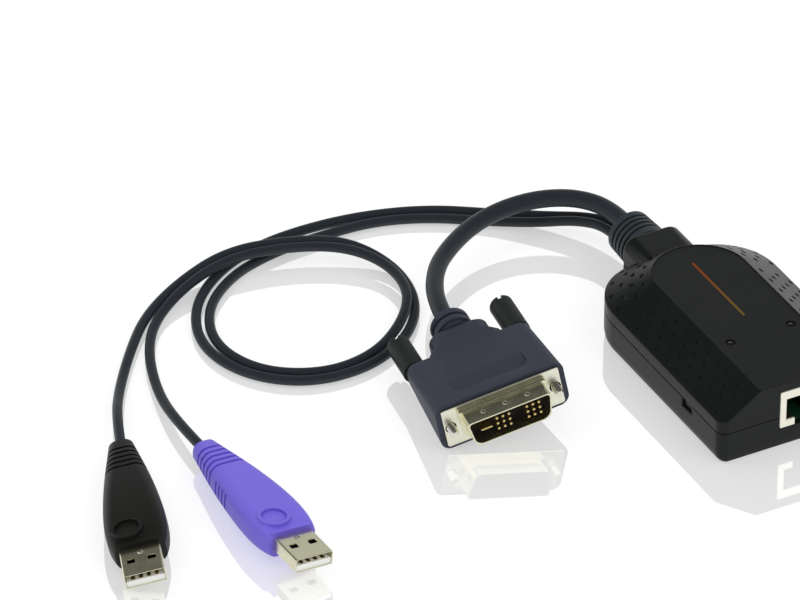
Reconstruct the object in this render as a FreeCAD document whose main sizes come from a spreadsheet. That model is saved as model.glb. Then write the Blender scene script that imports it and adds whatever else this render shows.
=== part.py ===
import FreeCAD, Part
import math
import os
import re
import Sketcher

Vec = FreeCAD.Vector
doc = FreeCAD.newDocument("kvm_dongle")
sheet = doc.addObject("Spreadsheet::Sheet", "sizes")

# All lengths in mm. The housing is drawn with its front face at y = 0 and moved to the
# middle of the row frame afterwards; each plug is drawn round its own contact face.
SIZES = {
    # housing
    "case_width": 56, "case_length": 86, "case_height": 22.5, "parting_height": 10.4,
    "band_top": 14.4, "wall": 2, "rear_corner": 20, "rear_side": 80.75, "crown": 30,
    "front_corner": 3.2, "bottom_inset": 1.9, "bottom_rise": 3.5, "front_inset": 0.5,
    "panel_half": 15, "panel_round_at": 60.5, "panel_corner": 0.8, "panel_rim": 0.5,
    "panel_sink": 0.2,
    "slot_at": 17, "slot_length": 5.5, "slot_height": 3, "tongue_sink": 0.8, "clearance": 0.3,
    # neck that both halves form round the grommet
    "neck_length": 5.4, "neck_half": 9.7, "neck_top": 19.4, "neck_bottom": 3,
    "neck_corner": 4.3, "neck_rim": 1.4, "neck_bore": 6.2, "neck_root": 8.5,
    # grommet
    "grommet_length": 12.6, "grommet_pitch": 2.2, "grommet_axis": 11.1, "grommet_big": 7.9, "grommet_small": 7.25,
    "grommet_groove": 0.9, "grommet_depth": 0.8, "grommet_fit": 0.05, "grommet_flange": 7,
    "grommet_flange_length": 1.6,
    # circuit board and what sits on it
    "board_side": 2, "board_length": 66, "board_gap": 0.3, "board_thick": 1.6,
    "post_radius": 2.5, "post_inset": 4, "post_front": 12, "post_rear": 58,
    "chip_side": 16, "chip_height": 1.6, "chip_at": 42,
    "header_width": 14, "header_depth": 6, "header_height": 7, "header_at": 62,
    # network jack
    "jack_headroom": 1.4, "jack_half": 7.85, "jack_height": 12.5, "jack_depth": 16, "jack_fit": 0.15,
    "port_half": 5.85, "port_low": 2.2, "port_high": 9.8, "port_depth": 12.5,
    "latch_half": 2.9, "wire_width": 0.45, "wire_pitch": 1.02, "wire_thick": 0.5,
    "wire_front": 2, "wire_reach": 8.4, "wire_drop": 3.1,
    # status lights and accent stripe
    "light_x": 10.3, "light_at": 25.5, "light_radius": 1.5, "light_sunk": 0.45, "light_flange": 2.3,
    "light_flange_length": 1, "led_half": 1.2, "led_height": 1.2,
    "stripe_x": 0.3, "stripe_at": 35.6, "stripe_length": 30.7, "stripe_width": 0.8,
    "stripe_depth": 0.5,
    # video plug
    "flange_half": 18.7, "flange_high": 6.7, "flange_thick": 1.2, "flange_corner": 0.8,
    "flange_sink": 0.6, "screw_x": 16.65, "shell_top_half": 13.3, "shell_low_half": 12.1,
    "shell_high": 4.5, "shell_skin": 0.45, "shell_depth": 7, "shell_top_corner": 1,
    "shell_low_corner": 2.8, "lip_width": 0.9, "lip_thick": 1.7, "bump_radius": 0.7,
    "bump_height": 0.3, "bump_pitch": 7, "block_sink": 4.2, "pin_pitch": 1.905,
    "pin_first": -4.0, "pin_groups_apart": 9.525, "pin_radius": 0.4, "pin_length": 3.2,
    "blade_x": -7.6, "blade_width": 3.5, "blade_thick": 0.5, "blade_length": 3.4,
    "plug_half": 20.4, "plug_high": 8, "plug_corner": 3.2, "shoulder_at": 29.5,
    "shoulder_half": 19.6, "shoulder_high": 4.3, "shoulder_corner": 2.8, "shoulder_round": 1.4,
    "plug_neck_root": 20, "plug_neck_root_half": 11.8, "plug_neck_flare": 3.5,
    "plug_neck_half": 9.3, "plug_neck_high": 4.9, "plug_neck_end": 38.2, "plug_neck_corner": 3.2,
    "plug_neck_round": 1.6, "plug_length": 44.8, "collar_radius": 6.2, "collar_groove": 1,
    "collar_depth": 1, "dish_half": 12, "dish_from": 5.6, "dish_depth": 9.6, "dish_corner": 3.5,
    "dish_sink": 0.4,
    # thumbscrews, 4-40 thread
    "thread_radius": 1.42, "thread_out": 3.8, "screw_hole": 1.75, "knob_radius": 3.7,
    "knob_end": 45, "knob_gap": 0.3, "knob_round": 0.9, "knob_slot": 1.3,
    "knob_slot_depth": 1.8, "screw_in_knob": 6, "shank_radius": 1.15,
    # data plugs
    "data_half": 6, "data_high": 2.25, "data_skin": 0.3, "data_corner": 0.5,
    "data_out": 13, "data_hole_x": 3, "data_hole_at": 6.8, "data_hole_wide": 2.4,
    "data_hole_long": 2, "data_block_sink": 0.4, "data_block_top": -0.1,
    "data_contact_pitch": 2.3, "data_contact_wide": 1.1, "data_contact_thick": 0.15,
    "data_contact_from": 0.9, "data_contact_long": 8, "data_boot_length": 53,
    "ring_outer": 4.7, "ring_inner": 3.8, "ring_at": 6.9, "ring_aside": 2.4, "ring_top": 4.85,
    "ring_dish": 4.0, "ridge_half": 6.6, "ridge_long": 1, "ridge_top": 3.7,
    "relief_from": 37.5, "relief_pitch": 2.6, "relief_groove": 1, "relief_depth": 0.6,
    "rib_from": 25, "rib_pitch": 2.5, "rib_groove": 0.9, "rib_depth": 0.55, "rib_top": 2.6,
    # cables
    "thin_radius": 1.55, "thick_radius": 2.75, "thin_exit_x": 2.1, "thin_exit_drop": 3.3,
    "thick_exit_rise": 1.7,
}
# cross sections of the data plug's moulded boot: distance behind its front face,
# half width, top, bottom and corner radius
BOOT = {
    "nose": (0, 7.4, 3.3, 4.4, 2.4), "cheek": (5, 8.7, 4.1, 5, 3.2),
    "waist": (17, 8.9, 4.9, 5.1, 3.7), "taper": (32, 7.3, 4.8, 4.8, 3.8),
    "tail": (44, 5.4, 4.1, 4.2, 3.5), "end": (53, 3.8, 3.3, 3.4, 2.8),
}
for station, numbers in BOOT.items():
    for word, number in zip(("at", "half", "top", "low", "corner"), numbers):
        SIZES["%s_%s" % (station, word)] = number
# where each plug lies: x, y, z of its contact face, then yaw, pitch and roll in degrees
POSES = {
    "video": (-77.7, -11.1, 11.6, -7.4, 0, -11.5),
    "black": (-204.2, -32.0, 7.5, -19.8, -2, -11.2),
    "violet": (-158.4, -47.4, 7.5, 2.0, -2, 4.5),
}
for row, (alias, number) in enumerate(SIZES.items(), 1):
    sheet.set("A%d" % row, alias)
    sheet.set("B%d" % row, str(number))
    sheet.setAlias("B%d" % row, alias)
doc.recompute()


def ex(text):
    return re.sub(r"[a-z]+(_[a-z]+)*", lambda m: "sizes." + m[0] if m[0] in SIZES else m[0],
                  str(text))


def num(text):
    return float(sheet.evalExpression(str(text)))


def new_body(label):
    body = doc.addObject("PartDesign::Body", label)
    body.Label = label
    body.AllowCompound = True
    return body


def new_sketch(body, plane, lift="0"):
    origin = [f for f in body.Origin.OriginFeatures if f.Role == plane][0]
    sketch = body.newObject("Sketcher::SketchObject", "sketch")
    sketch.AttachmentSupport = (origin, [""])
    sketch.MapMode = "FlatFace"
    if str(lift) != "0":
        sketch.setExpression("AttachmentOffset.Base.z", ex(lift))
    return sketch


def draw_outline(sketch, corners):
    """A closed outline of straight lines through the corners (x, y, radius)."""
    points = [(num(x), num(y), num(r)) for x, y, r in corners]
    count = len(points)
    ends = []
    for i, (x, y, r) in enumerate(points):
        here = Vec(x, y, 0)
        back = Vec(*points[i - 1][:2], 0) - here
        ahead = Vec(*points[(i + 1) % count][:2], 0) - here
        back.normalize()
        ahead.normalize()
        if r > 0:
            half = back.getAngle(ahead) / 2
            reach = r / math.tan(half)
            middle = (back + ahead).normalize() * (r / math.sin(half)) + here
            ends.append((here + back * reach, here + ahead * reach, middle))
        else:
            ends.append((here, here, None))
    made = []
    for i in range(count):
        made.append(Part.LineSegment(ends[i][1], ends[(i + 1) % count][0]))
    lines = sketch.addGeometry(made)
    rules, bound = [], []
    for i in range(count):
        x, y, r = corners[i]
        line_in, line_out = lines[i - 1], lines[i]
        if points[i][2] > 0:
            start, stop, middle = ends[i]
            turn = (start - middle).cross(stop - middle).z
            if turn < 0:
                start, stop = stop, start
            angle = [math.atan2(p.y - middle.y, p.x - middle.x) for p in (start, stop)]
            ring = Part.Circle(middle, Vec(0, 0, 1), points[i][2])
            arc = sketch.addGeometry(Part.ArcOfCircle(ring, angle[0], angle[1]))
            corner = sketch.addGeometry(Part.Point(Vec(*points[i][:2], 0)), True)
            first, last = (1, 2) if turn > 0 else (2, 1)
            rules += [Sketcher.Constraint("Tangent", line_in, 2, arc, first),
                      Sketcher.Constraint("Tangent", arc, last, line_out, 1),
                      Sketcher.Constraint("PointOnObject", corner, 1, line_in),
                      Sketcher.Constraint("PointOnObject", corner, 1, line_out)]
            bound.append((len(rules), r))
            rules.append(Sketcher.Constraint("Radius", arc, points[i][2]))
            spot = (corner, 1)
        else:
            rules.append(Sketcher.Constraint("Coincident", line_in, 2, line_out, 1))
            spot = (line_out, 1)
        for kind, text, value in (("DistanceX", x, points[i][0]), ("DistanceY", y, points[i][1])):
            bound.append((len(rules), text))
            rules.append(Sketcher.Constraint(kind, -1, 1, spot[0], spot[1], value))
    base = sketch.ConstraintCount
    sketch.addConstraint(rules)
    for index, text in bound:
        sketch.setExpression("Constraints[%d]" % (base + index), ex(text))


def draw_circle(sketch, x, y, r):
    ring = sketch.addGeometry(Part.Circle(Vec(num(x), num(y), 0), Vec(0, 0, 1), num(r)))
    base = sketch.ConstraintCount
    sketch.addConstraint([Sketcher.Constraint("DistanceX", -1, 1, ring, 3, num(x)),
                          Sketcher.Constraint("DistanceY", -1, 1, ring, 3, num(y)),
                          Sketcher.Constraint("Radius", ring, num(r))])
    for index, text in enumerate((x, y, r)):
        sketch.setExpression("Constraints[%d]" % (base + index), ex(text))


def box_corners(x0, x1, y0, y1, r="0"):
    return [(x0, y0, r), (x1, y0, r), (x1, y1, r), (x0, y1, r)]


def feature(body, kind, profile, length=None, back=False, through=False):
    made = body.newObject("PartDesign::" + kind, kind.lower())
    made.Profile = profile
    if length is not None:
        made.setExpression("Length", ex(length))
    if through:
        made.Type = 1
        made.Midplane = True
    made.Reversed = back
    profile.Visibility = False
    return made


def pad(body, plane, lift, outlines, length, back=False):
    sketch = new_sketch(body, plane, lift)
    for outline in outlines:
        draw_outline(sketch, outline) if isinstance(outline, list) else draw_circle(sketch, *outline)
    return feature(body, "Pad", sketch, length, back)


def pocket(body, plane, lift, outlines, length=None, back=False):
    sketch = new_sketch(body, plane, lift)
    for outline in outlines:
        draw_outline(sketch, outline) if isinstance(outline, list) else draw_circle(sketch, *outline)
    return feature(body, "Pocket", sketch, length, back, through=length is None)


def loft(body, plane, sections, cut=False, ruled=True):
    sketches = []
    for lift, outline in sections:
        sketch = new_sketch(body, plane, lift)
        draw_outline(sketch, outline)
        sketch.Visibility = False
        sketches.append(sketch)
    made = body.newObject("PartDesign::SubtractiveLoft" if cut else "PartDesign::AdditiveLoft", "loft")
    made.Profile = sketches[0]
    made.Sections = sketches[1:]
    made.Ruled = ruled
    return made


def revolve(body, plane, outline, cut=False):
    sketch = new_sketch(body, plane)
    draw_outline(sketch, outline)
    made = body.newObject("PartDesign::Groove" if cut else "PartDesign::Revolution", "turned")
    made.Profile = sketch
    made.ReferenceAxis = (sketch, ["V_Axis"])
    made.Angle = 360
    return made


def seat(body, y="0", x="0", z="0"):
    front = "-(case_length + neck_length + grommet_length) / 2"
    body.setExpression("Placement.Base.y", ex(front + " + " + str(y)))
    if str(x) != "0":
        body.setExpression("Placement.Base.x", ex(x))
    if str(z) != "0":
        body.setExpression("Placement.Base.z", ex(z))


def pose(name):
    x, y, z, yaw, pitch, roll = POSES[name]
    turn = FreeCAD.Rotation(Vec(0, 0, 1), yaw) * FreeCAD.Rotation(Vec(1, 0, 0), pitch)
    return FreeCAD.Placement(Vec(x, y, z), turn * FreeCAD.Rotation(Vec(0, 1, 0), roll))


# --- housing ---------------------------------------------------------------

def plan(inset, front=None):
    front = inset if front is None else front
    half, rear = "case_width / 2 - (%s)" % inset, "rear_corner - (%s)" % inset
    side = "rear_side - (%s)" % inset
    small = "front_corner * (1 - (%s) / front_corner * 0.9)" % inset
    return [(half, front, small), (half, side, rear),
            ("0", "case_length - (%s)" % inset, "crown"),
            ("-(%s)" % half, side, rear), ("-(%s)" % half, front, small)]


def panel(inset, front="0"):
    half = "(panel_half - (%s))" % inset
    side = "panel_round_at + %s * tan(30)" % half
    return [(half, front, "panel_corner"), (half, side, half + " * 0.99"),
            ("0", "panel_round_at + %s / sin(60)" % half, half + " * 0.97"),
            ("-" + half, side, half + " * 0.99"), ("-" + half, front, "panel_corner")]


def tunnel(half, end, radius, down):
    corners = [("-(%s)" % half, "parting_height", "0"), (half, "parting_height", "0"),
               (half, end, radius), ("-(%s)" % half, end, radius)]
    return corners[::-1] if down else corners


jack_low = "(case_height - wall - jack_headroom - jack_height)"
board_low = "(%s - board_thick)" % jack_low
board_half = "(case_width / 2 - wall - board_side)"
post_x = "(%s - post_inset)" % board_half
lower = new_body("lower_housing")
steps = []
for degrees in (0, 30, 60, 90):
    share = "(1 - sin(%d))" % degrees
    steps.append(("bottom_rise * (1 - cos(%d))" % degrees,
                  plan("bottom_inset * " + share, "front_inset * " + share)))
loft(lower, "XY_Plane", steps)
pad(lower, "XY_Plane", "bottom_rise", [plan("0")], "parting_height - bottom_rise")
pocket(lower, "XY_Plane", "parting_height", [plan("wall")], "parting_height - wall")
neck_steps = [("-(case_length - neck_root)", "0"),
              ("-(case_length + neck_length - neck_rim)", "0"),
              ("-(case_length + neck_length - neck_rim * 0.4)", "neck_rim * 0.2"),
              ("-(case_length + neck_length)", "neck_rim * 0.75")]
loft(lower, "XZ_Plane", [(at, tunnel("neck_half - %s" % inset, "neck_bottom + %s" % inset,
                                     "neck_corner - %s" % inset, True))
                         for at, inset in neck_steps])
for x in (post_x, "-" + post_x):
    for y in ("post_front", "post_rear"):
        pad(lower, "XY_Plane", "wall * 0.5", [(x, y, "post_radius")], board_low + " - wall * 0.5")
pocket(lower, "XZ_Plane", "0",
       [box_corners("-jack_half - jack_fit", "jack_half + jack_fit", jack_low + " - jack_fit",
                    "parting_height + 1")], "wall * 1.5")
pocket(lower, "XZ_Plane", "-(case_length - neck_root - 1)",
       [("0", "grommet_axis", "neck_bore")], "neck_root + neck_length + 2")
pocket(lower, "YZ_Plane", "0",
       [box_corners("slot_at", "slot_at + slot_length", "parting_height - slot_height",
                    "parting_height + 1")])
seat(lower)

upper = new_body("upper_housing")
pad(upper, "XY_Plane", "parting_height", [plan("0")], "band_top - parting_height")
loft(upper, "XY_Plane", [("band_top", plan("0")), ("case_height", panel("0"))])
pocket(upper, "XY_Plane", "parting_height", [plan("wall")],
       "band_top - wall / 2 - parting_height", back=True)
loft(upper, "XY_Plane", [("band_top - wall / 2", plan("wall")),
                         ("case_height - wall", panel("wall * 0.3", "wall"))], cut=True)
loft(upper, "XZ_Plane", [(at, tunnel("neck_half - %s" % inset, "neck_top - %s" % inset,
                                     "neck_corner - %s" % inset, False))
                         for at, inset in neck_steps])
pocket(upper, "XY_Plane", "case_height", [panel("panel_rim", "panel_rim")], "panel_sink")
pocket(upper, "XZ_Plane", "0",
       [box_corners("-jack_half - jack_fit", "jack_half + jack_fit", "parting_height - 1",
                    jack_low + " + jack_height + jack_fit")], "wall * 1.5")
pocket(upper, "XZ_Plane", "-(case_length - neck_root - 1)",
       [("0", "grommet_axis", "neck_bore")], "neck_root + neck_length + 2")
pocket(upper, "XY_Plane", "case_height",
       [("light_x", "light_at", "light_radius + grommet_fit"),
        ("-light_x", "light_at", "light_radius + grommet_fit")], "wall + 1")
pocket(upper, "XY_Plane", "case_height",
       [box_corners("stripe_x - stripe_width / 2", "stripe_x + stripe_width / 2", "stripe_at",
                    "stripe_at + stripe_length")], "stripe_depth")
for side in ("", "-"):
    outline = box_corners("%s(case_width / 2 - wall)" % side,
                          "%s(case_width / 2 - tongue_sink)" % side,
                          "slot_at + clearance", "slot_at + slot_length - clearance")
    pad(upper, "XY_Plane", "parting_height - slot_height + clearance", [outline],
        "slot_height - clearance + 1")
seat(upper)

stripe = new_body("accent_stripe")
pad(stripe, "XY_Plane", "case_height - stripe_depth",
    [box_corners("stripe_x - stripe_width / 2", "stripe_x + stripe_width / 2", "stripe_at",
                 "stripe_at + stripe_length")], "stripe_depth - panel_sink + 0.05")
seat(stripe)

# --- circuit board and its parts --------------------------------------------

board = new_body("circuit_board")
pad(board, "XY_Plane", board_low,
    [box_corners("-" + board_half, board_half, "wall + board_gap",
                 "wall + board_gap + board_length")], "board_thick")
seat(board)

chip = new_body("main_chip")
pad(chip, "XY_Plane", jack_low, [box_corners("-chip_side / 2", "chip_side / 2", "chip_at - chip_side / 2",
                                             "chip_at + chip_side / 2")], "chip_height")
seat(chip)

header = new_body("cable_header")
pad(header, "XY_Plane", jack_low,
    [box_corners("-header_width / 2", "header_width / 2", "header_at - header_depth / 2",
                 "header_at + header_depth / 2")], "header_height")
pocket(header, "XY_Plane", jack_low + " + header_height",
       [box_corners("-header_width / 2 + 1", "header_width / 2 - 1",
                    "header_at - header_depth / 2 + 1", "header_at + header_depth / 2 - 1")],
       "header_height - 2")
seat(header)

jack = new_body("network_jack")
pad(jack, "XZ_Plane", "0", [box_corners("-jack_half", "jack_half", "0", "jack_height", "0.4")],
    "jack_depth", back=True)
pocket(jack, "XZ_Plane", "0", [box_corners("-port_half", "port_half", "port_low", "port_high")],
       "port_depth")
pocket(jack, "XZ_Plane", "0", [box_corners("-latch_half", "latch_half", "-1", "port_low + 0.5")],
       "port_depth")
seat(jack, z=jack_low)

contacts = new_body("jack_contacts")
for i in range(8):
    at = "(%s) * wire_pitch" % (i - 3.5)
    pad(contacts, "YZ_Plane", "%s - wire_width / 2" % at,
        [[("wire_front", "port_high", "0"), ("wire_front + wire_reach", "port_high - wire_drop", "0"),
          ("wire_front + wire_reach + wire_thick", "port_high - wire_drop", "0"),
          ("wire_front + wire_thick * 2", "port_high", "0")]], "wire_width")
seat(contacts, z=jack_low)

for name, sign in (("left", "-"), ("right", "")):
    led = new_body(name + "_status_led")
    pad(led, "XY_Plane", jack_low,
        [box_corners("%slight_x - led_half" % sign, "%slight_x + led_half" % sign,
                     "light_at - led_half", "light_at + led_half")], "led_height")
    seat(led)
    pipe = new_body(name + "_light_pipe")
    base = "(%s + led_height + clearance)" % jack_low
    pad(pipe, "XY_Plane", base, [("0", "0", "light_radius")],
        "case_height - panel_sink - light_sunk - %s" % base)
    pad(pipe, "XY_Plane", "case_height - wall - light_flange_length",
        [("0", "0", "light_flange")], "light_flange_length")
    seat(pipe, y="light_at", x="%slight_x" % sign)

# --- grommet ------------------------------------------------------------------

grommet = new_body("cable_grommet")
inner = "-(neck_length + neck_root)"
profile = [("0", inner + " - grommet_flange_length", "0"),
           ("grommet_flange", inner + " - grommet_flange_length", "0"),
           ("grommet_flange", inner, "0"), ("neck_bore - grommet_fit", inner, "0"),
           ("neck_bore - grommet_fit", "0", "0"), ("grommet_big", "0", "0")]
for i in range(1, 5):
    edge = "(grommet_length - grommet_pitch * %s)" % (5 - i)
    outer = "(grommet_big - (grommet_big - grommet_small) * %s / grommet_length)" % edge
    profile += [(outer, edge + " - grommet_groove", "0"),
                (outer + " - grommet_depth", edge + " - grommet_groove", "0"),
                (outer + " - grommet_depth", edge, "0"), (outer, edge, "0")]
profile += [("grommet_small", "grommet_length", "0"), ("0", "grommet_length", "0")]
revolve(grommet, "XY_Plane", profile)
seat(grommet, y="case_length + neck_length", z="grommet_axis")

# --- video plug ---------------------------------------------------------------

video = pose("video")


def oval(half, top, low, radius):
    return [("-(%s)" % half, "-(%s)" % low, radius), (half, "-(%s)" % low, radius),
            (half, top, radius), ("-(%s)" % half, top, radius)]


def dee(inset):
    top, low = "shell_top_half - (%s)" % inset, "shell_low_half - (%s)" % inset
    high = "shell_high - (%s)" % inset
    return [("-(%s)" % low, "-(%s)" % high, "shell_low_corner"), (low, "-(%s)" % high, "shell_low_corner"),
            (top, high, "shell_top_corner"), ("-(%s)" % top, high, "shell_top_corner")]


boot = new_body("video_plug_boot")
loft(boot, "XZ_Plane", [
    ("-(flange_thick - flange_sink)", oval("plug_half", "plug_high", "plug_high", "plug_corner")),
    ("-(shoulder_at - shoulder_round)",
     oval("shoulder_half", "shoulder_high", "shoulder_high", "shoulder_corner")),
    ("-shoulder_at", oval("shoulder_half - shoulder_round * 0.6", "shoulder_high - shoulder_round * 0.5",
                          "shoulder_high - shoulder_round * 0.5", "shoulder_corner * 0.7"))])
neck_steps = [("-plug_neck_root", "plug_neck_root_half", "plug_neck_high"),
              ("-(shoulder_at + 0.5)", "plug_neck_root_half", "plug_neck_high"),
              ("-(shoulder_at + plug_neck_flare)", "plug_neck_half", "plug_neck_high"),
              ("-(plug_neck_end - plug_neck_round)", "plug_neck_half", "plug_neck_high"),
              ("-plug_neck_end", "plug_neck_half - plug_neck_round * 0.7",
               "plug_neck_high - plug_neck_round * 0.5")]
loft(boot, "XZ_Plane", [(at, oval(half, high, high, "plug_neck_corner"))
                        for at, half, high in neck_steps])
pad(boot, "XZ_Plane", "-plug_neck_end", [("0", "0", "collar_radius - collar_depth")],
    "plug_length - plug_neck_end", back=True)
for i in (1, 2):
    pad(boot, "XZ_Plane", "-(plug_length - %d * (plug_length - plug_neck_end) / 2 + collar_groove)" % i,
        [("0", "0", "collar_radius")], "(plug_length - plug_neck_end) / 2 - collar_groove", back=True)
pocket(boot, "XZ_Plane", "0", [box_corners("-flange_half - grommet_fit", "flange_half + grommet_fit",
                                           "-flange_high - grommet_fit", "flange_high + grommet_fit",
                                           "flange_corner")], "flange_thick")
for x in ("screw_x", "-screw_x"):
    pocket(boot, "XZ_Plane", "0", [(x, "0", "screw_hole")], "shoulder_at + 2")
pocket(boot, "XY_Plane", "plug_high - (plug_high - shoulder_high) / shoulder_at * (dish_from + dish_depth / 2)"
              " - dish_sink",
              [box_corners("-dish_half", "dish_half", "dish_from", "dish_from + dish_depth",
                           "dish_corner")], "dish_depth", back=True)

flange = new_body("video_plug_flange")
pad(flange, "XZ_Plane", "0", [box_corners("-flange_half", "flange_half", "-flange_high",
                                          "flange_high", "flange_corner")], "flange_thick", back=True)
pocket(flange, "XZ_Plane", "0", [dee("shell_skin")], "flange_thick + 1")
pocket(flange, "XZ_Plane", "0", [("screw_x", "0", "screw_hole"), ("-screw_x", "0", "screw_hole")],
       "flange_thick + 1")

shell = new_body("video_plug_shell")
pad(shell, "XZ_Plane", "0", [dee("0")], "shell_depth")
pad(shell, "XZ_Plane", "0", [dee("-lip_width")], "lip_thick")
pocket(shell, "XZ_Plane", "shell_depth + 1", [dee("shell_skin")], "shell_depth + 2")
for i in (-1, 0, 1):
    pad(shell, "XY_Plane", "shell_high - shell_skin / 2",
        [("%d * bump_pitch" % i, "-shell_depth * 0.55", "bump_radius")],
        "bump_height + shell_skin / 2")

block = new_body("video_plug_insulator")
pad(block, "XZ_Plane", "shell_depth - block_sink", [dee("shell_skin + 0.05")],
    "shell_depth - block_sink + flange_thick", back=True)

pins = new_body("video_plug_pins")
rods = []
for group in (0, 1):
    for column in range(3):
        for line in (-1, 0, 1):
            rods.append(("pin_first + %d * pin_groups_apart + %d * pin_pitch" % (group, column),
                         "%d * pin_pitch" % line, "pin_radius"))
pad(pins, "XZ_Plane", "shell_depth - block_sink", rods, "pin_length")

blade = new_body("video_plug_blade")
pad(blade, "XZ_Plane", "shell_depth - block_sink",
    [box_corners("blade_x - blade_width / 2", "blade_x + blade_width / 2", "-blade_thick / 2",
                 "blade_thick / 2")], "blade_length")
for body in (boot, flange, shell, block, pins, blade):
    body.Placement = video

for name, sign in (("left", "-"), ("right", "")):
    knob = new_body(name + "_thumbscrew_knob")
    start = "(shoulder_at + knob_gap)"
    revolve(knob, "XY_Plane", [("0", start + " + screw_in_knob", "0"), ("shank_radius", start + " + screw_in_knob", "0"),
                               ("shank_radius", start, "0"), ("knob_radius", start, "0"),
                               ("knob_radius", "knob_end", "knob_round"), ("0", "knob_end", "0")])
    pocket(knob, "XZ_Plane", "-knob_end", [box_corners("-knob_slot / 2", "knob_slot / 2", "-knob_radius - 1",
                                                       "knob_radius + 1")], "knob_slot_depth", back=True)
    screw = new_body(name + "_thumbscrew_screw")
    revolve(screw, "XY_Plane", [("0", "-thread_out", "0"), ("thread_radius", "-thread_out", "0"),
                                ("thread_radius", "0", "0"), ("shank_radius", "0", "0"),
                                ("shank_radius", start + " + screw_in_knob", "0"),
                                ("0", start + " + screw_in_knob", "0")])
    for body in (knob, screw):
        body.Placement = video * FreeCAD.Placement(Vec(num(sign + "screw_x"), 0, 0), FreeCAD.Rotation())

# --- data plugs ----------------------------------------------------------------

for colour in ("black", "violet"):
    place = pose(colour)
    boot = new_body(colour + "_plug_boot")
    loft(boot, "XZ_Plane", [("-(data_out + %s_at)" % s, oval(s + "_half", s + "_top", s + "_low", s + "_corner"))
                            for s in BOOT], ruled=False)
    for i in range(5):
        at = "(relief_from + %d * relief_pitch)" % i
        share = "((%s - taper_at) / (end_at - taper_at))" % at
        half = "(taper_half + (end_half - taper_half) * %s)" % share
        high = "(taper_top + (end_top - taper_top) * %s)" % share
        pocket(boot, "XZ_Plane", "-(data_out + %s)" % at,
                        [oval(half + " + 4", high + " + 4", high + " + 4", "0"),
                         oval(half + " - relief_depth", high + " - relief_depth", high + " - relief_depth",
                              "end_corner")], "relief_groove")
    pad(boot, "XY_Plane", "ring_top - 2", [("-ring_aside", "data_out + ring_at", "ring_outer")], "2")
    pocket(boot, "XY_Plane", "ring_top", [("-ring_aside", "data_out + ring_at", "ring_inner")],
           "ring_top - ring_dish")
    pad(boot, "XZ_Plane", "-data_out", [box_corners("-ridge_half", "ridge_half", "0", "ridge_top")],
        "ridge_long", back=True)
    for i in range(4):
        for side in ("", "-"):
            half = "(waist_half + (taper_half - waist_half) * (rib_from + %d * rib_pitch - waist_at) / (taper_at - waist_at))" % i
            pocket(boot, "XZ_Plane", "-(data_out + rib_from + %d * rib_pitch)" % i,
                   [box_corners("%s(%s - rib_depth)" % (side, half), "%s(%s + 3)" % (side, half),
                                "-rib_top", "rib_top")], "rib_groove")
    shell = new_body(colour + "_plug_shell")
    pad(shell, "XZ_Plane", "0", [oval("data_half", "data_high", "data_high", "data_corner")],
        "data_out", back=True)
    pocket(shell, "XZ_Plane", "0", [oval("data_half - data_skin", "data_high - data_skin",
                                         "data_high - data_skin", "data_corner * 0.5")], "data_out")
    for x in ("-data_hole_x", "data_hole_x"):
        pocket(shell, "XY_Plane", "0", [box_corners(x + " - data_hole_wide / 2", x + " + data_hole_wide / 2",
                                                    "data_hole_at - data_hole_long / 2",
                                                    "data_hole_at + data_hole_long / 2")])
    block = new_body(colour + "_plug_insulator")
    pad(block, "XZ_Plane", "-data_block_sink",
        [box_corners("-data_half + data_skin + 0.05", "data_half - data_skin - 0.05",
                     "-data_high + data_skin", "data_block_top", "data_corner * 0.5")],
        "data_out - data_block_sink", back=True)
    contacts = new_body(colour + "_plug_contacts")
    for i in (-1.5, -0.5, 0.5, 1.5):
        pad(contacts, "XY_Plane", "data_block_top",
            [box_corners("%s * data_contact_pitch - data_contact_wide / 2" % i,
                         "%s * data_contact_pitch + data_contact_wide / 2" % i,
                         "data_contact_from", "data_contact_from + data_contact_long")],
            "data_contact_thick")
    for body in (boot, shell, block, contacts):
        body.Placement = place

# --- cables ----------------------------------------------------------------------

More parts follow.
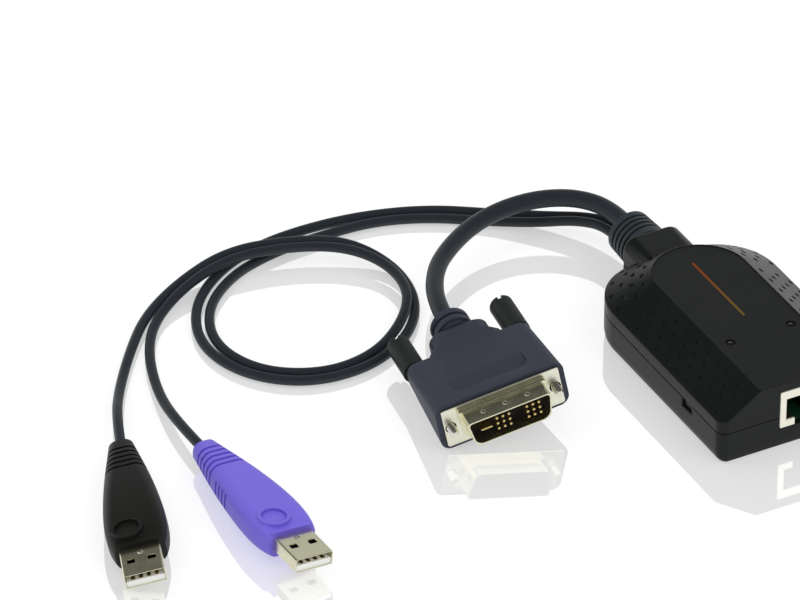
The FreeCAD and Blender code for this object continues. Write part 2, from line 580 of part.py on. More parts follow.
rear = num("(case_length + neck_length + grommet_length) / 2")
thin_z = num("grommet_axis - thin_exit_drop")
ROUTES = {
    "black_cable": ("thin_radius", [
        (num("thin_exit_x"), rear, thin_z), (2.1, 61, 7.8), (-3.2, 71.8, 5.8), (-12.8, 81.2, 3.4),
        (-25, 92.3, 1.6), (-41, 103.2, 1.6), (-59.5, 109.6, 1.6), (-78.5, 111.8, 1.6),
        (-97.5, 110.4, 1.6), (-115.5, 102.7, 1.6), (-130, 88.5, 1.6), (-136.4, 69.5, 1.6),
        (-131, 51, 1.6), (-116.5, 38.7, 1.6), (-97, 37.2, 1.6), (-79, 45.8, 1.6),
        (-67.5, 61.5, 1.6), (-65.3, 81, 2), (-75, 95.5, 5.8), (-92, 103.5, 5.8), (-110, 106.3, 5.8),
        (-127.5, 102.3, 3), (-144, 92.5, 1.6), (-156.5, 77.5, 1.6), (-168, 61, 1.6)]),
    "violet_cable": ("thin_radius", [
        (-num("thin_exit_x"), rear, thin_z), (-2.1, 62, 7.8), (-7.6, 72, 5.8), (-17, 79.4, 3.4),
        (-28.5, 89.2, 1.6), (-43.5, 99.6, 1.6), (-60, 105.6, 1.6), (-77.5, 106, 1.6),
        (-95, 104.8, 1.6), (-112, 99.3, 1.6), (-126.5, 86.5, 1.6), (-132.5, 68.3, 1.6),
        (-126.3, 50.5, 1.6), (-110, 40.8, 1.6), (-92.5, 42.4, 1.6), (-78.4, 50.8, 3.8),
        (-68.8, 64.5, 4.2), (-68.6, 80.5, 4.6), (-77.3, 92.8, 5.8), (-93, 100.2, 5.8),
        (-110, 102.9, 5.8), (-126.2, 99.1, 4), (-141.8, 89.9, 1.6), (-151.5, 75.5, 1.6),
        (-158.3, 54.5, 1.6)]),
    "video_cable": ("thick_radius", [
        (0, rear, num("grommet_axis + thick_exit_rise")), (0, 63, 12.8), (-5.5, 73.2, 12.6),
        (-15.2, 79.3, 12), (-27, 81, 11.2), (-39, 78.5, 10.6), (-50.5, 72.2, 10.2),
        (-61.4, 62.6, 10.2)]),
}
ENDS = {"black_cable": ("black", "data_out + data_boot_length", 14.9),
        "violet_cable": ("violet", "data_out + data_boot_length", 15.5),
        "video_cable": ("video", "plug_length", 12)}


def cable(label, points, radius):
    points = [Vec(*p) for p in points]
    edges, start, radii = [], points[0], []
    for i in range(1, len(points) - 1):
        here = points[i]
        back, ahead = points[i - 1] - here, points[i + 1] - here
        shorter = min(back.Length, ahead.Length)
        back.normalize()
        ahead.normalize()
        turn = math.pi - back.getAngle(ahead)
        reach = 0.45 * shorter
        bend = reach / math.tan(turn / 2)
        radii.append(bend)
        enter, leave = here + back * reach, here + ahead * reach
        inward = (back + ahead).normalize()
        middle = here + inward * (math.hypot(bend, reach) - bend)
        edges.append(Part.LineSegment(start, enter).toShape())
        edges.append(Part.Arc(enter, middle, leave).toShape())
        start = leave
    edges.append(Part.LineSegment(start, points[-1]).toShape())
    path = Part.Wire(edges)
    ring = Part.Circle(points[0], points[1] - points[0], radius)
    pipe = path.makePipeShell([Part.Wire([ring.toShape()])], True, False)
    made = doc.addObject("Part::Feature", label)
    made.Label = label
    made.Shape = pipe
    print(label, "length %.1f" % path.Length, "least radius %.1f" % min(radii),
          "volume share %.4f" % (pipe.Volume / (math.pi * radius ** 2 * path.Length)))
    return made


bodies = [o for o in doc.Objects if o.TypeId == "PartDesign::Body"]
for label, (radius, points) in ROUTES.items():
    plug, length, run = ENDS[label]
    for ahead in (run, 0):
        points.append(tuple(pose(plug).multVec(Vec(0, num(length) + ahead, 0))))
    bodies.append(cable(label, points, num(radius)))

doc.recompute()
bad = [o.Label for o in doc.Objects if "Invalid" in o.State or "Error" in o.State]
bad += [b.Label for b in bodies if b.Shape.isNull() or not b.Shape.isValid()]
if bad:
    raise SystemExit("failed: " + ", ".join(bad))
os.makedirs("parts", exist_ok=True)
for body in bodies:
    body.Shape.exportStep("parts/%s.step" % body.Label)
    box = body.Shape.optimalBoundingBox(False)
    print("%-26s solids %d volume %9.1f z %.2f..%.2f" % (body.Label, len(body.Shape.Solids),
                                                       body.Shape.Volume, box.ZMin, box.ZMax))
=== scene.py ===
import bpy
import bmesh
import math
from mathutils import Matrix, Vector
from mathutils.bvhtree import BVHTree


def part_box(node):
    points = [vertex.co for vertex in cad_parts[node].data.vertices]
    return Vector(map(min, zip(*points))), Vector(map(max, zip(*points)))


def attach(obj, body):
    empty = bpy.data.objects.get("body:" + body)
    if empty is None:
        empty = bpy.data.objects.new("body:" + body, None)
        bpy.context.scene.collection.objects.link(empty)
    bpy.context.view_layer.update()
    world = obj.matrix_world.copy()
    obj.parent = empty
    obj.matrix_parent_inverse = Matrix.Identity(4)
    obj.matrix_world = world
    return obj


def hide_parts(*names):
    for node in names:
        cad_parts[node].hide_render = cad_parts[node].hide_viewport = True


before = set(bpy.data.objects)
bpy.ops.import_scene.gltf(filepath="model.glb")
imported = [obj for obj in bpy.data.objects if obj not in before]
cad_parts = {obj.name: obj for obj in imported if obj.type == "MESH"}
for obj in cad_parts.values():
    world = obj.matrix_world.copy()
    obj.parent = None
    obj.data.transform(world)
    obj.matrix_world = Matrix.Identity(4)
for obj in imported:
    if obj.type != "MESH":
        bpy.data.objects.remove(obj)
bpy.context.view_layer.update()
scene = bpy.context.scene
scene.view_settings.view_transform = "Standard"
print("frame loaded")

mm = 0.001


# a screen colour, with parts from 0 to 255, as linear light
def toLinear(red, green, blue):
    parts = [c / 255 for c in (red, green, blue)]
    return tuple(c / 12.92 if c < 0.04 else ((c + 0.055) / 1.055) ** 2.4 for c in parts) + (1,)


# the camera looks from this far along this line, in millimetres and degrees
view = {"target": (-71.12, 66.36, 0), "distance": 2000, "elevation": 34.785, "azimuth": 27.725,
        "lens": 297.7, "sensor": 36, "nearest": 50, "farthest": 20000}


def makeCamera():
    data = bpy.data.cameras.new("studioCamera")
    data.lens = view["lens"]
    data.sensor_width = view["sensor"]
    data.clip_start = view["nearest"] * mm
    data.clip_end = view["farthest"] * mm
    camera = bpy.data.objects.new("studioCamera", data)
    scene.collection.objects.link(camera)
    up, around = math.radians(view["elevation"]), math.radians(view["azimuth"])
    ahead = Vector((math.sin(around) * math.cos(up), math.cos(around) * math.cos(up),
                    -math.sin(up)))
    camera.location = Vector(view["target"]) * mm - ahead * view["distance"] * mm
    camera.rotation_euler = (math.pi / 2 - up, 0, -around)
    scene.camera = camera


makeCamera()


def newMaterial(name):
    material = bpy.data.materials.new(name)
    material.use_nodes = True
    nodes = material.node_tree.nodes
    return material, nodes, material.node_tree.links, nodes["Principled BSDF"]


floorLook = {"size": 6, "colour": (0.42, 0.42, 0.42, 1), "mirror": 0.38, "roughness": 0.03,
             "glow": 0.5, "matt": 0.9, "below": 0.15}


def makeFloor():
    mesh = bpy.data.meshes.new("studioFloor")
    shape = bmesh.new()
    bmesh.ops.create_grid(shape, x_segments=1, y_segments=1, size=floorLook["size"] / 2)
    shape.to_mesh(mesh)
    shape.free()
    floor = bpy.data.objects.new("studioFloor", mesh)
    floor.location.z = -floorLook["below"] * mm
    scene.collection.objects.link(floor)
    material, nodes, links, base = newMaterial("paleFloor")
    base.inputs["Base Color"].default_value = floorLook["colour"]
    base.inputs["Roughness"].default_value = floorLook["matt"]
    base.inputs["Specular IOR Level"].default_value = 0
    gloss = nodes.new("ShaderNodeBsdfGlossy")
    gloss.inputs["Roughness"].default_value = floorLook["roughness"]
    mix = nodes.new("ShaderNodeMixShader")
    mix.inputs["Fac"].default_value = floorLook["mirror"]
    glow = nodes.new("ShaderNodeEmission")
    glow.inputs["Strength"].default_value = floorLook["glow"]
    join = nodes.new("ShaderNodeAddShader")
    links.new(base.outputs["BSDF"], mix.inputs[1])
    links.new(gloss.outputs["BSDF"], mix.inputs[2])
    links.new(mix.outputs["Shader"], join.inputs[0])
    links.new(glow.outputs["Emission"], join.inputs[1])
    links.new(join.outputs["Shader"], nodes["Material Output"].inputs["Surface"])
    mesh.materials.append(material)


# the studio is white round the horizon and dim overhead, as glossy surfaces show it,
# and a white card stands behind the object where the floor mirrors it
worldLook = {"light": 0.85, "seen": 1, "dim": 0.08, "from": 0.14, "to": 0.5, "card": 1.1,
             "cardEdge": 8, "cardFull": 5.5}


def makeWorld():
    world = bpy.data.worlds.new("studioWorld")
    scene.world = world
    world.use_nodes = True
    nodes, links = world.node_tree.nodes, world.node_tree.links
    rays = nodes.new("ShaderNodeLightPath")
    sky = nodes["Background"]
    sky.inputs["Color"].default_value = (1, 1, 1, 1)
    sky.inputs["Strength"].default_value = worldLook["light"]
    around = nodes.new("ShaderNodeBackground")
    height = nodes.new("ShaderNodeSeparateXYZ")
    where = nodes.new("ShaderNodeTexCoord").outputs["Generated"]
    links.new(where, height.inputs[0])
    fade = nodes.new("ShaderNodeMapRange")
    for name, number in (("From Min", "from"), ("From Max", "to"), ("To Min", "seen"),
                         ("To Max", "dim")):
        fade.inputs[name].default_value = worldLook[number]
    links.new(height.outputs["Z"], fade.inputs["Value"])
    up, side = math.radians(view["elevation"]), math.radians(view["azimuth"])
    card = nodes.new("ShaderNodeVectorMath")
    card.operation = "DOT_PRODUCT"
    card.inputs[1].default_value = (math.sin(side) * math.cos(up), math.cos(side) * math.cos(up),
                                    math.sin(up))
    links.new(where, card.inputs[0])
    edge = nodes.new("ShaderNodeMapRange")
    edge.inputs["From Min"].default_value = math.cos(math.radians(worldLook["cardEdge"]))
    edge.inputs["From Max"].default_value = math.cos(math.radians(worldLook["cardFull"]))
    edge.inputs["To Max"].default_value = worldLook["card"]
    links.new(card.outputs["Value"], edge.inputs["Value"])
    brighter = nodes.new("ShaderNodeMath")
    brighter.operation = "MAXIMUM"
    links.new(fade.outputs["Result"], brighter.inputs[0])
    links.new(edge.outputs["Result"], brighter.inputs[1])
    links.new(brighter.outputs["Value"], around.inputs["Strength"])
    mirrored = nodes.new("ShaderNodeMath")
    mirrored.operation = "MAXIMUM"
    links.new(rays.outputs["Is Glossy Ray"], mirrored.inputs[0])
    links.new(rays.outputs["Is Transmission Ray"], mirrored.inputs[1])
    seen = nodes.new("ShaderNodeBackground")
    seen.inputs["Strength"].default_value = worldLook["seen"]
    shown = sky
    for share, other in ((mirrored.outputs["Value"], around),
                         (rays.outputs["Is Camera Ray"], seen)):
        pick = nodes.new("ShaderNodeMixShader")
        links.new(share, pick.inputs["Fac"])
        links.new(shown.outputs[0], pick.inputs[1])
        links.new(other.outputs["Background"], pick.inputs[2])
        shown = pick
    links.new(shown.outputs[0], nodes["World Output"].inputs["Surface"])


# the lamps' places and sizes, and the spot they face, in metres
lamps = {
    "keySoftbox": {"at": (-0.9, 0.5, 1.5), "size": 0.9, "power": 5},
    "frontFill": {"at": (0.6, -1.25, 1.45), "size": 1, "power": 8},
}
lampAim = (-0.07, 0.03, 0)


def makeLamps():
    aim = Vector(lampAim)
    for name, lamp in lamps.items():
        data = bpy.data.lights.new(name, "AREA")
        data.size = lamp["size"]
        data.energy = lamp["power"]
        light = bpy.data.objects.new(name, data)
        light.location = lamp["at"]
        light.visible_glossy = False  # or the floor would mirror the lamp
        light.rotation_euler = (aim - light.location).to_track_quat("-Z", "Y").to_euler()
        scene.collection.objects.link(light)


makeFloor()
makeWorld()
makeLamps()
print("stage ready")

# each cord runs from the housing to its plug, in millimetres, and its length is in metres
cords = {
    "black_cable": {"radius": 1.55, "length": 0.465, "plug": "black", "points": [
        (2.1, 52, 7.8), (2.1, 61, 7.8), (-3.2, 71.8, 5.8), (-12.8, 81.2, 3.4), (-25, 92.3, 1.6),
        (-41, 103.2, 1.6), (-59.5, 109.6, 1.6), (-78.5, 111.8, 1.6), (-97.5, 110.4, 1.6),
        (-115.5, 102.7, 1.6), (-130, 88.5, 1.6), (-136.4, 69.5, 1.6), (-131, 51, 1.6),
        (-116.5, 38.7, 1.6), (-97, 37.2, 1.6), (-79, 45.8, 1.6), (-67.5, 61.5, 1.6),
        (-65.3, 81, 2), (-75, 95.5, 5.8), (-92, 103.5, 5.8), (-110, 106.3, 5.8),
        (-127.5, 102.3, 3), (-144, 92.5, 1.6), (-156.5, 77.5, 1.6), (-168, 61, 1.6),
        (-176.8, 44.06, 5.72), (-181.86, 30.06, 5.2)]},
    "violet_cable": {"radius": 1.55, "length": 0.435, "plug": "violet", "points": [
        (-2.1, 52, 7.8), (-2.1, 62, 7.8), (-7.6, 72, 5.8), (-17, 79.4, 3.4), (-28.5, 89.2, 1.6),
        (-43.5, 99.6, 1.6), (-60, 105.6, 1.6), (-77.5, 106, 1.6), (-95, 104.8, 1.6),
        (-112, 99.3, 1.6), (-126.5, 86.5, 1.6), (-132.5, 68.3, 1.6), (-126.3, 50.5, 1.6),
        (-110, 40.8, 1.6), (-92.5, 42.4, 1.6), (-78.4, 50.8, 3.8), (-68.8, 64.5, 4.2),
        (-68.6, 80.5, 4.6), (-77.3, 92.8, 5.8), (-93, 100.2, 5.8), (-110, 102.9, 5.8),
        (-126.2, 99.1, 4), (-141.8, 89.9, 1.6), (-151.5, 75.5, 1.6), (-158.3, 54.5, 1.6),
        (-161.24, 34, 4.66), (-160.7, 18.52, 5.2)]},
    "video_cable": {"radius": 2.75, "length": 0.116, "plug": "video", "points": [
        (0, 52, 12.8), (0, 63, 12.8), (-5.5, 73.2, 12.6), (-15.2, 79.3, 12), (-27, 81, 11.2),
        (-39, 78.5, 10.6), (-50.5, 72.2, 10.2), (-61.4, 62.6, 10.2), (-70.38, 45.23, 11.6),
        (-71.93, 33.33, 11.6)]},
}


def makeCord(node, facts, material):
    curve = bpy.data.curves.new(node + "Jacket", "CURVE")
    curve.dimensions = "3D"
    line = curve.splines.new("NURBS")
    line.points.add(len(facts["points"]) - 1)
    for point, place in zip(line.points, facts["points"]):
        point.co = tuple(c * mm for c in place) + (1,)
    line.order_u = 3
    line.use_endpoint_u = True
    line.resolution_u = 10
    curve.bevel_depth = facts["radius"] * mm
    curve.bevel_resolution = 7
    curve.use_fill_caps = True
    curve.materials.append(material)
    piece = bpy.data.objects.new(node + "Jacket", curve)
    scene.collection.objects.link(piece)
    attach(piece, "dongle")
    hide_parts(node)
    return piece


# where each plug lies: x, y and z of its contact face, then yaw, pitch and roll
plugPoses = {"video": (-77.7, -11.1, 11.6, -7.4, 0, -11.5),
             "black": (-204.2, -32.0, 7.5, -19.8, -2, -11.2),
             "violet": (-158.4, -47.4, 7.5, 2.0, -2, 4.5)}


def plugPlace(name):
    x, y, z, yaw, pitch, roll = plugPoses[name]
    place = Matrix.Translation(Vector((x, y, z)) * mm)
    for angle, axis in ((yaw, "Z"), (pitch, "X"), (roll, "Y")):
        place = place @ Matrix.Rotation(math.radians(angle), 4, axis)
    return place


def coordinates(nodes):
    return nodes.new("ShaderNodeTexCoord").outputs["Object"]


def noise(nodes, links, scale, detail=3):
    cloud = nodes.new("ShaderNodeTexNoise")
    cloud.inputs["Scale"].default_value = scale
    cloud.inputs["Detail"].default_value = detail
    links.new(coordinates(nodes), cloud.inputs["Vector"])
    return cloud.outputs["Fac"]


def blendColours(nodes, links, share, low, high):
    tint = nodes.new("ShaderNodeMix")
    tint.data_type = "RGBA"
    links.new(share, tint.inputs[0])
    tint.inputs[6].default_value = low  # the node's first colour
    tint.inputs[7].default_value = high
    return tint.outputs[2]


def ramp(nodes, links, value, start, end):
    spread = nodes.new("ShaderNodeMapRange")
    for name, number in (("From Min", start), ("From Max", end)):
        spread.inputs[name].default_value = number
    links.new(value, spread.inputs["Value"])
    return spread.outputs["Result"]


def finish(name, colour, roughness, metallic=0.0, grain=0.02, grainSize=2500, grainDepth=0.2,
           mottling=0.12, patch=60, specular=0.5, spread=0.08):
    material, nodes, links, base = newMaterial(name)
    shade = toLinear(*colour)
    base.inputs["Metallic"].default_value = metallic
    base.inputs["Specular IOR Level"].default_value = specular
    cloud = noise(nodes, links, patch, 4)
    low = tuple(c * (1 - mottling) for c in shade[:3]) + (1,)
    high = tuple(min(1, c * (1 + mottling)) for c in shade[:3]) + (1,)
    tint = blendColours(nodes, links, cloud, low, high)
    links.new(tint, base.inputs["Base Color"])
    gloss = nodes.new("ShaderNodeMapRange")
    gloss.inputs["To Min"].default_value = max(0, roughness - spread)
    gloss.inputs["To Max"].default_value = min(1, roughness + spread)
    links.new(cloud, gloss.inputs["Value"])
    links.new(gloss.outputs["Result"], base.inputs["Roughness"])
    bump = nodes.new("ShaderNodeBump")
    bump.inputs["Strength"].default_value = grain
    bump.inputs["Distance"].default_value = grainDepth * mm
    links.new(noise(nodes, links, grainSize), bump.inputs["Height"])
    links.new(bump.outputs["Normal"], base.inputs["Normal"])
    return material


# the colour changes along Y, or along the piece's own length where a place is given
def alongFinish(name, near, far, start, end, roughness, specular, place=None, patch=400,
                spread=0.06):
    material, nodes, links, base = newMaterial(name)
    split = nodes.new("ShaderNodeSeparateXYZ")
    where = coordinates(nodes)
    if place:
        turned = nodes.new("ShaderNodeMapping")
        turned.inputs["Location"].default_value = place.inverted().to_translation()
        turned.inputs["Rotation"].default_value = place.inverted().to_euler()
        links.new(where, turned.inputs["Vector"])
        where = turned.outputs["Vector"]
    links.new(where, split.inputs[0])
    along = ramp(nodes, links, split.outputs["Y"], start * mm, end * mm)
    links.new(blendColours(nodes, links, along, toLinear(*near), toLinear(*far)),
              base.inputs["Base Color"])
    base.inputs["Specular IOR Level"].default_value = specular
    gloss = nodes.new("ShaderNodeMapRange")
    gloss.inputs["To Min"].default_value = roughness - spread
    gloss.inputs["To Max"].default_value = roughness + spread
    links.new(noise(nodes, links, patch), gloss.inputs["Value"])
    links.new(gloss.outputs["Result"], base.inputs["Roughness"])
    return material


plastics = {
    "casePlastic": {"colour": (20, 22, 22), "roughness": 0.34, "grain": 0.15, "specular": 0.21},
    "boardLaminate": {"colour": (22, 54, 36), "roughness": 0.35},
    "chipResin": {"colour": (30, 30, 32), "roughness": 0.6},
    "headerNylon": {"colour": (226, 222, 205), "roughness": 0.4},
    "lightPipe": {"colour": (10, 11, 10), "roughness": 0.12, "specular": 1, "grain": 0},
    "grommetRubber": {"colour": (42, 50, 55), "roughness": 0.5, "grain": 0.12, "specular": 0.35},
    "cableJacket": {"colour": (36, 42, 48), "roughness": 0.42, "grain": 0.08, "specular": 0.35},
    "videoBoot": {"colour": (50, 54, 67), "roughness": 0.5, "grain": 0.12, "specular": 0.25,
                  "mottling": 0.06},
    "contactBlockWithPaintedShade": {"colour": (22, 17, 13), "roughness": 0.5, "specular": 0.2},
    "knobPlastic": {"colour": (30, 36, 33), "roughness": 0.5, "grain": 0.12, "specular": 0.3},
    "blackBoot": {"colour": (24, 24, 22), "roughness": 0.44, "grain": 0.1, "specular": 0.25},
    "violetBoot": {"colour": (114, 97, 212), "roughness": 0.45, "grain": 0.1, "specular": 0.4,
                   "mottling": 0.05},
}
metals = {
    "goldPlate": {"colour": (225, 200, 138), "roughness": 0.3, "mottling": 0.05},
    "flangePlate": {"colour": (250, 248, 228), "roughness": 0.3, "mottling": 0.1, "patch": 250},
    "nickelPlate": {"colour": (240, 238, 206), "roughness": 0.24, "mottling": 0.08, "patch": 250},
    "screwSteel": {"colour": (238, 236, 222), "roughness": 0.25, "mottling": 0.06},
}
looks = {name: finish(name, **facts) for name, facts in plastics.items()}
looks.update({name: finish(name, metallic=1, **facts) for name, facts in metals.items()})
changing = {
    "stripeInk": {"near": (96, 82, 36), "far": (120, 54, 26), "start": -16, "end": 14,
                  "roughness": 0.45, "specular": 0.05},
    "jackNylon": {"near": (240, 238, 222), "far": (24, 32, 26), "start": -51.8, "end": -51.2,
                  "roughness": 0.4, "specular": 0.3},
}
for colour in ("black", "violet"):  # white at the mouth, and painted shade: dark inside the shell where shadow falls
    changing[colour + "BlockWithPaintedShade"] = {"near": (240, 240, 236), "far": (12, 12, 10), "start": 2.5,
                                  "end": 4.5, "roughness": 0.45, "specular": 0.4,
                                  "place": plugPlace(colour)}
looks.update({name: alongFinish(name, **facts) for name, facts in changing.items()})
nodeLooks = {
    "accent_stripe": "stripeInk", "circuit_board": "boardLaminate", "main_chip": "chipResin",
    "cable_header": "headerNylon", "network_jack": "jackNylon", "jack_contacts": "goldPlate",
    "left_status_led": "headerNylon", "right_status_led": "headerNylon",
    "left_light_pipe": "lightPipe", "right_light_pipe": "lightPipe",
    "cable_grommet": "grommetRubber", "video_plug_insulator": "contactBlockWithPaintedShade",
    "video_plug_pins": "goldPlate", "video_plug_blade": "goldPlate",
    "left_thumbscrew_knob": "knobPlastic", "right_thumbscrew_knob": "knobPlastic",
    "black_plug_boot": "blackBoot", "violet_plug_boot": "violetBoot",
    # the plug insulators' finishes carry painted shade inside the shell
    "black_plug_insulator": "blackBlockWithPaintedShade", "violet_plug_insulator": "violetBlockWithPaintedShade",
    "black_plug_contacts": "goldPlate", "violet_plug_contacts": "goldPlate",
}
for node, look in nodeLooks.items():
    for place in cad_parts[node].material_slots:
        place.material = looks[look]
print("finishes ready")

joining = {"gap": 0.002, "flat": 0.5, "seam": 0.001}


def mergedCopy(node):  # the CAD shape with its loose triangles joined into faces
    shape = bmesh.new()
    shape.from_mesh(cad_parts[node].data)
    bmesh.ops.remove_doubles(shape, verts=shape.verts, dist=joining["gap"] * mm)
    bmesh.ops.dissolve_limit(shape, angle_limit=math.radians(joining["flat"]), verts=shape.verts,
                             edges=shape.edges)
    return shape


# rounds the edges that are sharper than the angle and that the test picks
def softenEdges(shape, width, wanted, angle=28, segments=2):
    chosen = []
    for edge in shape.edges:
        if len(edge.link_faces) == 2 and edge.calc_face_angle() > math.radians(angle):
            middle = (edge.verts[0].co + edge.verts[1].co) / 2
            facing = edge.link_faces[0].normal + edge.link_faces[1].normal
            if wanted(middle / mm, facing.normalized()):
                chosen.append(edge)
    bmesh.ops.bevel(shape, geom=chosen, offset=width * mm, offset_type="OFFSET", affect="EDGES",
                    segments=segments, profile=0.5, material=-1, clamp_overlap=False)


def evenShading(piece):
    even = piece.modifiers.new("evenShading", "WEIGHTED_NORMAL")
    even.mode = "FACE_AREA"
    even.keep_sharp = True


def addPiece(name, shape, look, body="dongle", node=None, smooth=35):
    mesh = bpy.data.meshes.new(name)
    shape.to_mesh(mesh)
    shape.free()
    mesh.shade_smooth()
    mesh.set_sharp_from_angle(angle=math.radians(smooth))
    mesh.materials.append(looks[look])
    piece = bpy.data.objects.new(name, mesh)
    scene.collection.objects.link(piece)
    evenShading(piece)
    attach(piece, body)
    if node:
        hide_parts(node)
    return piece


case = {"edge": 0.35, "rim": 0.16, "bandTop": 14.4, "top": 22.5, "half": 28,
        "centre": (0, -9, 11), "belowRim": 0.6, "rimBand": 0.05, "steepest": 0.985}
hollow = {"half": 26.8, "front": -51, "rear": 30, "floor": 3, "roof": 20}


def isHidden(middle):
    between = hollow["front"] < middle.y < hollow["rear"]
    return (abs(middle.x) < hollow["half"] and between
            and hollow["floor"] < middle.z < hollow["roof"])


def isCaseEdge(middle, facing):
    away = middle - Vector(case["centre"])
    return (away.dot(facing) > 0 and not isHidden(middle)
            and middle.z < case["top"] - case["belowRim"])


def isRimEdge(middle, facing):
    return middle.z > case["top"] - case["rimBand"] and facing.z < case["steepest"]


dimples = {"rows": (2.1, 5.5, 9.0, 12.25), "slope": 15.3, "panelHalf": 15, "pitch": 5.95,
           "first": -44.15, "last": 6, "centreY": 8.5, "turn": 15, "long": 1.1, "wide": 0.72,
           "deep": 0.42, "neckHalf": 13.5, "neckStart": 30, "beyond": 60, "neckFrom": 33,
           "aboveBand": 0.5, "dropFrom": 40, "steepest": 0.5, "flattest": 0.95}


# the distance from the rear arc's centre to the wall, or None where the bore of the neck is
def wallReach(tree, out):
    start = Vector((0, dimples["centreY"], case["bandTop"] - 1)) * mm
    spot = tree.ray_cast(start + out * dimples["beyond"] * mm, -out)[0]
    return (spot - start).length / mm if spot else None


def dimpleSpots(tree):
    spots = []
    for index, row in enumerate(dimples["rows"]):
        share = row / dimples["slope"]
        shift = dimples["pitch"] / 2 if index % 2 == 0 else 0
        x = case["half"] - (case["half"] - dimples["panelHalf"]) * share
        y = dimples["first"] - shift
        while y < dimples["last"]:
            spots += [(x, y), (-x, y)]
            y += dimples["pitch"]
        angle = dimples["turn"] * (0.5 if index % 2 == 0 else 1)
        while angle < 180:
            out = Vector((math.cos(math.radians(angle)), math.sin(math.radians(angle)), 0))
            edge = wallReach(tree, out)
            if edge and edge < dimples["neckFrom"]:
                radius = edge - (edge - dimples["panelHalf"]) * share
                spots.append((out.x * radius, dimples["centreY"] + out.y * radius))
            angle += dimples["turn"]
    return spots


def dimpleCutter(shape):
    tree = BVHTree.FromBMesh(shape)
    cutter = bmesh.new()
    for x, y in dimpleSpots(tree):
        above = Vector((x, y, dimples["dropFrom"])) * mm
        spot, normal = tree.ray_cast(above, Vector((0, 0, -1)))[:2]
        onNeck = abs(x) < dimples["neckHalf"] and y > dimples["neckStart"]
        if spot is None or onNeck or not dimples["steepest"] < normal.z < dimples["flattest"]:
            continue
        if spot.z < (case["bandTop"] + dimples["aboveBand"]) * mm:
            continue
        across = Vector((0, 0, 1)).cross(normal).normalized()
        turn = Matrix((across, normal.cross(across), normal)).transposed().to_4x4()
        size = Matrix.Diagonal([dimples[side] * mm for side in ("long", "wide", "deep")] + [1])
        bmesh.ops.create_icosphere(cutter, subdivisions=2, radius=1,
                                   matrix=Matrix.Translation(spot) @ turn @ size)
    return cutter


def cutAway(piece, cutter, name):
    mesh = bpy.data.meshes.new(name)
    cutter.to_mesh(mesh)
    cutter.free()
    tool = bpy.data.objects.new(name, mesh)
    scene.collection.objects.link(tool)
    change = piece.modifiers.new(name, "BOOLEAN")
    change.object = tool
    change.operation = "DIFFERENCE"
    change.solver = "EXACT"
    piece.modifiers.remove(piece.modifiers["evenShading"])
    graph = bpy.context.evaluated_depsgraph_get()
    result = bpy.data.meshes.new_from_object(piece.evaluated_get(graph))
    piece.modifiers.clear()
    piece.data = result
    evenShading(piece)
    bpy.data.objects.remove(tool)
    bpy.data.meshes.remove(mesh)


def makeCase():
    lower = mergedCopy("lower_housing")
    softenEdges(lower, case["edge"], isCaseEdge)
    addPiece("lowerShell", lower, "casePlastic", node="lower_housing")
    upper = mergedCopy("upper_housing")
    softenEdges(upper, case["rim"], isRimEdge, angle=20)
    softenEdges(upper, case["edge"], isCaseEdge)
    cutter = dimpleCutter(upper)
    shell = addPiece("upperShell", upper, "casePlastic", node="upper_housing")
    cutAway(shell, cutter, "dimpleTool")
    shell.data.set_sharp_from_angle(angle=math.radians(35))
    print("case", len(shell.data.polygons), "faces")


makeCase()


def spinProfile(shape, points, matrix, steps=24):
    line = [bmesh.ops.create_vert(shape, co=matrix @ Vector((x * mm, 0, z * mm)))["vert"][0]
            for x, z in points]
    edges = [shape.edges.new(pair) for pair in zip(line, line[1:])]
    bmesh.ops.spin(shape, geom=line + edges, cent=matrix.to_translation(),
                   axis=matrix.to_3x3().col[2].normalized(), angle=math.tau,
                   steps=steps, use_merge=True)
    bmesh.ops.remove_doubles(shape, verts=shape.verts, dist=joining["seam"] * mm)
    bmesh.ops.recalc_face_normals(shape, faces=shape.faces)


def domeProfile(radius, high, root, step):
    arc = [(radius * math.cos(math.radians(angle)), high * math.sin(math.radians(angle)))
           for angle in range(0, 90, step)]
    return [(0, -root), (radius, -root)] + arc + [(0, high)]


lens = {"radius": 1.46, "dome": 0.5, "root": 0.3, "rim": 21.72, "x": 10.3, "y": -26.5,
        "step": 15}


def makeLens(side, sign):
    shape = bmesh.new()
    place = Matrix.Translation(Vector((sign * lens["x"], lens["y"], lens["rim"])) * mm)
    profile = domeProfile(lens["radius"], lens["dome"], lens["root"], lens["step"])
    spinProfile(shape, profile, place)
    addPiece(side + "Lens", shape, "lightPipe")


for side, sign in (("left", -1), ("right", 1)):
    makeLens(side, sign)
print("lenses ready")


def softPlugPiece(node, name, look, width, angle, wanted=None):
    low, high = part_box(node)
    middle = (low + high) / 2 / mm

    def isOuter(spot, facing):
        return (spot - middle).dot(facing) > 0

    shape = mergedCopy(node)
    softenEdges(shape, width, wanted or isOuter, angle)
    addPiece(name, shape, look, node=node)


boot = {"dish": (3, 18), "dishFloor": 2, "middle": (0, 14, 0), "mouth": 0.4}


def isBootEdge(middle, facing):
    place = plugPlace("video")
    spot = (place.inverted() @ (middle * mm)) / mm
    low, high = boot["dish"]
    inDish = low < spot.y < high and spot.z > boot["dishFloor"]
    away = spot - Vector(boot["middle"])
    outer = away.dot(place.to_3x3().inverted() @ facing) > 0
    return outer and not inDish and spot.y > boot["mouth"]


plugEdges = {
    "video_plug_flange": {"name": "videoFlange", "look": "flangePlate", "width": 0.2, "angle": 40},
    "video_plug_shell": {"name": "videoShell", "look": "nickelPlate", "width": 0.14, "angle": 40},
    "black_plug_shell": {"name": "blackShell", "look": "nickelPlate", "width": 0.1, "angle": 40},
    "violet_plug_shell": {"name": "violetShell", "look": "nickelPlate", "width": 0.1, "angle": 40},
    "video_plug_boot": {"name": "videoBootSkin", "look": "videoBoot", "width": 0.3, "angle": 35,
                        "wanted": isBootEdge},
}
for node, facts in plugEdges.items():
    softPlugPiece(node, **facts)

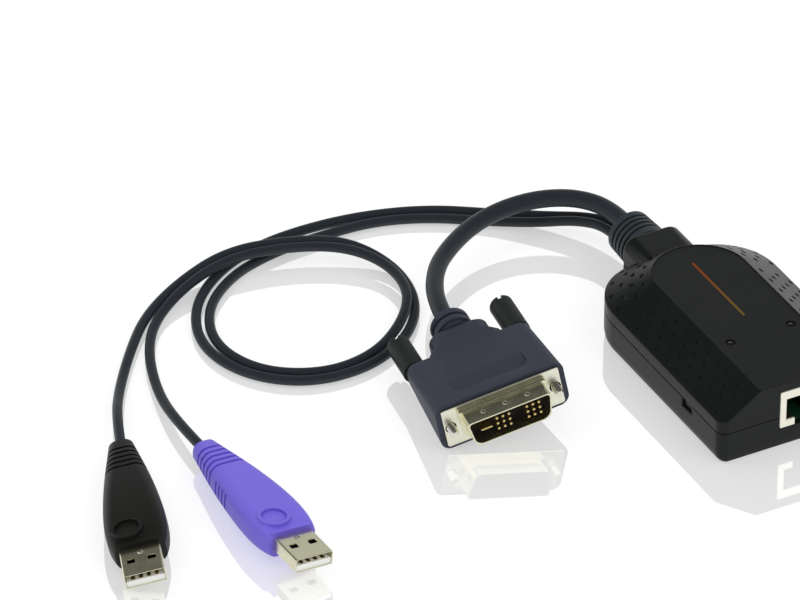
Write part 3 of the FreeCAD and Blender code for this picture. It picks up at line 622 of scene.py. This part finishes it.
# the profile is in shares of the radius and the height
spring = {"radius": 0.95, "high": 0.3, "root": 0.2, "at": 10.2, "top": 2.25, "steps": 20,
          "profile": ((0, 0.4), (0.4, 0.45), (0.62, 1), (0.82, 0.9), (1, 0))}


def makeSpring(colour):
    shape = bmesh.new()
    points = [(x * spring["radius"], z * spring["high"]) for x, z in spring["profile"]]
    points += [(spring["radius"], -spring["root"]), (0, -spring["root"])]
    place = Matrix.Translation(Vector((0, spring["at"], spring["top"])) * mm)
    spinProfile(shape, points, plugPlace(colour) @ place, spring["steps"])
    addPiece(colour + "Spring", shape, "screwSteel")


for colour in ("black", "violet"):
    makeSpring(colour)

bumps = {"pitch": 7, "at": -3.85, "top": 4.5, "radius": 0.85, "high": 0.42, "root": 0.2,
         "step": 18, "steps": 16}


def makeBumps():
    shape = bmesh.new()
    profile = domeProfile(bumps["radius"], bumps["high"], bumps["root"], bumps["step"])
    for count in (-1, 0, 1):
        spot = Vector((count * bumps["pitch"], bumps["at"], bumps["top"])) * mm
        spinProfile(shape, profile, plugPlace("video") @ Matrix.Translation(spot), bumps["steps"])
    addPiece("videoBumps", shape, "screwSteel")


makeBumps()

thread = {"x": 16.65, "out": 3.8, "back": 0.5, "radius": 1.42, "root": 1.12, "pitch": 0.64,
          "tip": 0.7, "tipShare": 0.72, "shank": 1.15, "end": 35.8, "sides": 24, "perTurn": 6}


def addRod(shape, radius, low, high):
    bmesh.ops.create_cone(shape, cap_ends=True, segments=thread["sides"], radius1=radius * mm,
                          radius2=radius * mm, depth=(high - low) * mm,
                          matrix=Matrix.Translation((0, 0, (low + high) / 2 * mm)))


def cutThread(shape):
    for vert in shape.verts:
        around = math.atan2(vert.co.y, vert.co.x) / math.tau
        phase = (vert.co.z / mm / thread["pitch"] + around) % 1
        ridge = 1 - abs(2 * phase - 1)
        radius = thread["root"] + (thread["radius"] - thread["root"]) * ridge
        whole = min(1, max(0, (thread["out"] - vert.co.z / mm) / thread["tip"]))
        radius *= thread["tipShare"] + (1 - thread["tipShare"]) * whole
        flat = Vector((vert.co.x, vert.co.y, 0)).normalized() * radius * mm
        vert.co.x, vert.co.y = flat.x, flat.y


def makeScrew(side, sign):
    place = plugPlace("video") @ Matrix.Translation(Vector((sign * thread["x"], 0, 0)) * mm)
    place = place @ Matrix.Rotation(math.pi / 2, 4, "X")  # the screw's tip points along -Y
    shape = bmesh.new()
    addRod(shape, thread["radius"], -thread["back"], thread["out"])
    walls = [edge for edge in shape.edges if abs(edge.verts[0].co.z - edge.verts[1].co.z) > mm]
    cuts = round((thread["out"] + thread["back"]) / thread["pitch"] * thread["perTurn"])
    bmesh.ops.subdivide_edges(shape, edges=walls, cuts=cuts, use_grid_fill=True)
    cutThread(shape)
    addRod(shape, thread["shank"], -thread["end"], 0)
    bmesh.ops.transform(shape, matrix=place, verts=shape.verts)
    addPiece(side + "ThreadedScrew", shape, "screwSteel", side + "_thumbscrew",
             side + "_thumbscrew_screw", smooth=50)


for side, sign in (("left", -1), ("right", 1)):
    makeScrew(side, sign)
print("plugs ready")

for node, facts in cords.items():
    makeCord(node, facts, looks["cableJacket"])
print("cords laid")
